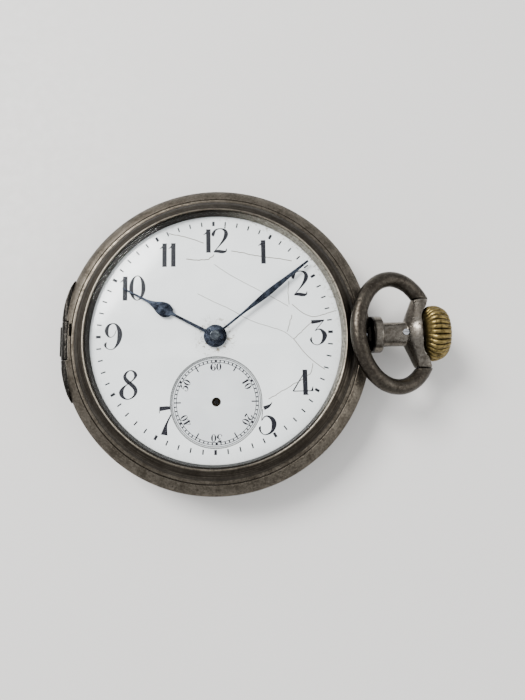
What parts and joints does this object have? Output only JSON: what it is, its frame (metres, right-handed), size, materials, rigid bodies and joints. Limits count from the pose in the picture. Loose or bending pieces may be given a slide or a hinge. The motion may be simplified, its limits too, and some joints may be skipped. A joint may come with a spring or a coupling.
{
  "type": "pocket watch",
  "caption": "Hunter-cased pocket watch with its front lid lost: open enamel dial with sunk seconds, hinged back and inner cover, swinging bow and pull-out winding crown.",
  "frame": {"origin": "middle of the flat resting face of the back cover", "axes": "+Z out of the dial, +X along the stem to the crown at 3 o'clock, +Y to 12 o'clock; the watch lies on its back"},
  "size_m": [0.0653, 0.052, 0.0129],
  "materials": {
    "worn_silver": "worn tarnished silver",
    "bow_silver": "worn silver, dark in the hollows",
    "crown_metal": "brass showing through worn plating",
    "crystal": "clear polished",
    "enamel": "glossy fired enamel with hairline cracks",
    "blued_steel": "blued and aged",
    "cap_steel": "polished and worn",
    "gilt_brass": "gilt, matte",
    "wheel_brass": "polished",
    "polished_steel": "polished",
    "spring_steel": "blue tempered",
    "ruby": "polished synthetic ruby",
    "nickel": "frosted nickel"
  },
  "bodies": {
    "case": {"case_middle": "worn_silver", "bezel": "worn_silver", "crystal": "crystal", "lid_hinge_knuckles": "worn_silver", "lid_hinge_pin": "polished_steel", "back_hinge_knuckles": "worn_silver", "back_hinge_pin": "polished_steel", "cuvette_hinge_knuckles": "worn_silver", "cuvette_hinge_pin": "polished_steel", "lid_lock_spring": "spring_steel", "lid_fly_spring": "spring_steel", "pendant": "worn_silver", "pendant_screw": "polished_steel", "pendant_sleeve": "polished_steel", "dial": "enamel", "seconds_dial": "enamel", "main_plate": "gilt_brass", "barrel_bridge": "nickel", "train_bridge": "nickel", "balance_cock": "nickel", "pallet_cock": "nickel", "jewels": "ruby", "movement_screws": "polished_steel", "click_spring": "polished_steel"},
    "back_cover": {"back_cover": "worn_silver"},
    "cuvette": {"cuvette": "worn_silver"},
    "lid_stub": {"lid_hinge_stub": "worn_silver"},
    "bow": {"bow": "bow_silver"},
    "winding_pinion": {"winding_pinion": "polished_steel"},
    "crown": {"crown": "crown_metal", "stem": "polished_steel"},
    "clutch": {"sliding_clutch": "polished_steel"},
    "setting_lever": {"setting_lever": "polished_steel"},
    "yoke": {"yoke": "polished_steel"},
    "crown_wheel": {"crown_wheel": "polished_steel"},
    "ratchet": {"ratchet_wheel": "polished_steel", "barrel_arbor": "polished_steel"},
    "click": {"click": "polished_steel"},
    "minute_hand": {"minute_hand": "blued_steel", "hand_cap": "cap_steel", "cannon_pinion": "polished_steel", "centre_pinion": "polished_steel", "centre_wheel": "wheel_brass"},
    "hour_hand": {"hour_hand": "blued_steel", "hour_wheel": "wheel_brass"},
    "minute_wheel": {"minute_wheel": "wheel_brass"},
    "setting_wheel": {"setting_wheel": "polished_steel"},
    "barrel": {"barrel_drum": "wheel_brass", "barrel_cover": "wheel_brass", "mainspring": "spring_steel"},
    "third_wheel": {"third_wheel": "wheel_brass", "third_pinion": "polished_steel"},
    "fourth_wheel": {"fourth_wheel": "wheel_brass", "fourth_pinion": "polished_steel"},
    "escape_wheel": {"escape_wheel": "polished_steel"},
    "pallet_fork": {"pallet_fork": "polished_steel"},
    "balance": {"balance_wheel": "wheel_brass", "balance_staff": "polished_steel", "hairspring": "spring_steel"},
    "regulator": {"regulator": "polished_steel"}
  },
  "joints": [
    {"name": "back_open", "type": "hinge", "parent": "case", "child": "back_cover", "pos_m": [-0.025, 0, 0.00505], "axis": [0, 1, 0], "range_deg": [0, 100]},
    {"name": "cuvette_open", "type": "hinge", "parent": "case", "child": "cuvette", "pos_m": [-0.0232, 0, 0.005], "axis": [0, 1, 0], "range_deg": [0, 60]},
    {"name": "lid_hinge", "type": "hinge", "parent": "case", "child": "lid_stub", "pos_m": [-0.0249, 0, 0.0078], "axis": [0, 1, 0], "range_deg": [0, 150]},
    {"name": "bow_swing", "type": "hinge", "parent": "case", "child": "bow", "pos_m": [0.0347, 0, 0.0073], "axis": [0, 1, 0], "range_deg": [0, 306]},
    {"name": "crown_turn", "type": "hinge", "parent": "case", "child": "winding_pinion", "pos_m": [0, 0, 0.0073], "axis": [1, 0, 0], "continuous": true},
    {"name": "crown_pull", "type": "slide", "parent": "winding_pinion", "child": "crown", "axis": [1, 0, 0], "range_m": [-0.0004, 0.0008]},
    {"name": "clutch_slide", "type": "slide", "parent": "winding_pinion", "child": "clutch", "axis": [1, 0, 0], "range_m": [-0.00048, 0.00024]},
    {"name": "lever_swing", "type": "hinge", "parent": "case", "child": "setting_lever", "pos_m": [0.019, 0.0034, 0.0083], "axis": [0, 0, 1], "range_deg": [-7, 14]},
    {"name": "yoke_swing", "type": "hinge", "parent": "case", "child": "yoke", "pos_m": [0.013, 0.0046, 0.0083], "axis": [0, 0, 1], "range_deg": [-6.5, 3.5]},
    {"name": "crown_wheel_turn", "type": "hinge", "parent": "case", "child": "crown_wheel", "pos_m": [0.01565, 0, 0.002], "axis": [0, 0, 1], "continuous": true},
    {"name": "ratchet_turn", "type": "hinge", "parent": "case", "child": "ratchet", "pos_m": [0.00624, 0.00744, 0.002], "axis": [0, 0, 1], "continuous": true},
    {"name": "click_lift", "type": "hinge", "parent": "case", "child": "click", "pos_m": [-0.0016, 0.0134, 0.002], "axis": [0, 0, 1], "range_deg": [-3, 8]},
    {"name": "minute_hand_turn", "type": "hinge", "parent": "case", "child": "minute_hand", "pos_m": [0, 0, 0.0093], "axis": [0, 0, 1], "continuous": true},
    {"name": "hour_hand_turn", "type": "hinge", "parent": "case", "child": "hour_hand", "pos_m": [0, 0, 0.0093], "axis": [0, 0, 1], "continuous": true},
    {"name": "minute_wheel_turn", "type": "hinge", "parent": "case", "child": "minute_wheel", "pos_m": [0.003, 0, 0.0083], "axis": [0, 0, 1], "continuous": true},
    {"name": "setting_wheel_turn", "type": "hinge", "parent": "case", "child": "setting_wheel", "pos_m": [0.00888, 0, 0.0083], "axis": [0, 0, 1], "continuous": true},
    {"name": "barrel_turn", "type": "hinge", "parent": "case", "child": "barrel", "pos_m": [0.00624, 0.00744, 0.005], "axis": [0, 0, 1], "continuous": true},
    {"name": "third_wheel_turn", "type": "hinge", "parent": "case", "child": "third_wheel", "pos_m": [0.00373, -0.00616, 0.005], "axis": [0, 0, 1], "continuous": true},
    {"name": "fourth_wheel_turn", "type": "hinge", "parent": "case", "child": "fourth_wheel", "pos_m": [0, -0.0108, 0.005], "axis": [0, 0, 1], "continuous": true},
    {"name": "escape_wheel_turn", "type": "hinge", "parent": "case", "child": "escape_wheel", "pos_m": [-0.00563, -0.00981, 0.005], "axis": [0, 0, 1], "continuous": true},
    {"name": "pallet_rock", "type": "hinge", "parent": "case", "child": "pallet_fork", "pos_m": [-0.00834, -0.00792, 0.005], "axis": [0, 0, 1], "range_deg": [-5, 5]},
    {"name": "balance_swing", "type": "hinge", "parent": "case", "child": "balance", "pos_m": [-0.01178, -0.00551, 0.004], "axis": [0, 0, 1], "range_deg": [-270, 270]},
    {"name": "regulator_swing", "type": "hinge", "parent": "case", "child": "regulator", "pos_m": [-0.01178, -0.00551, 0.002], "axis": [0, 0, 1], "range_deg": [-12, 12]}
  ],
  "couplings": [
    {"joint": "cuvette_open", "follows": "back_open", "ratio": 0.6},
    {"joint": "clutch_slide", "follows": "crown_pull", "ratio": -0.6},
    {"joint": "lever_swing", "follows": "crown_pull", "rad_per_m": 294.12},
    {"joint": "yoke_swing", "follows": "crown_pull", "rad_per_m": -130.43},
    {"joint": "crown_wheel_turn", "follows": "crown_turn", "ratio": 0.52941},
    {"joint": "ratchet_turn", "follows": "crown_turn", "ratio": -0.3065},
    {"joint": "hour_hand_turn", "follows": "minute_hand_turn", "ratio": 0.083333},
    {"joint": "minute_wheel_turn", "follows": "minute_hand_turn", "ratio": -0.33333},
    {"joint": "setting_wheel_turn", "follows": "minute_hand_turn", "ratio": 0.2069},
    {"joint": "barrel_turn", "follows": "minute_hand_turn", "ratio": -0.14286},
    {"joint": "third_wheel_turn", "follows": "minute_hand_turn", "ratio": -8},
    {"joint": "fourth_wheel_turn", "follows": "minute_hand_turn", "ratio": 60},
    {"joint": "escape_wheel_turn", "follows": "minute_hand_turn", "ratio": -600}
  ]
}
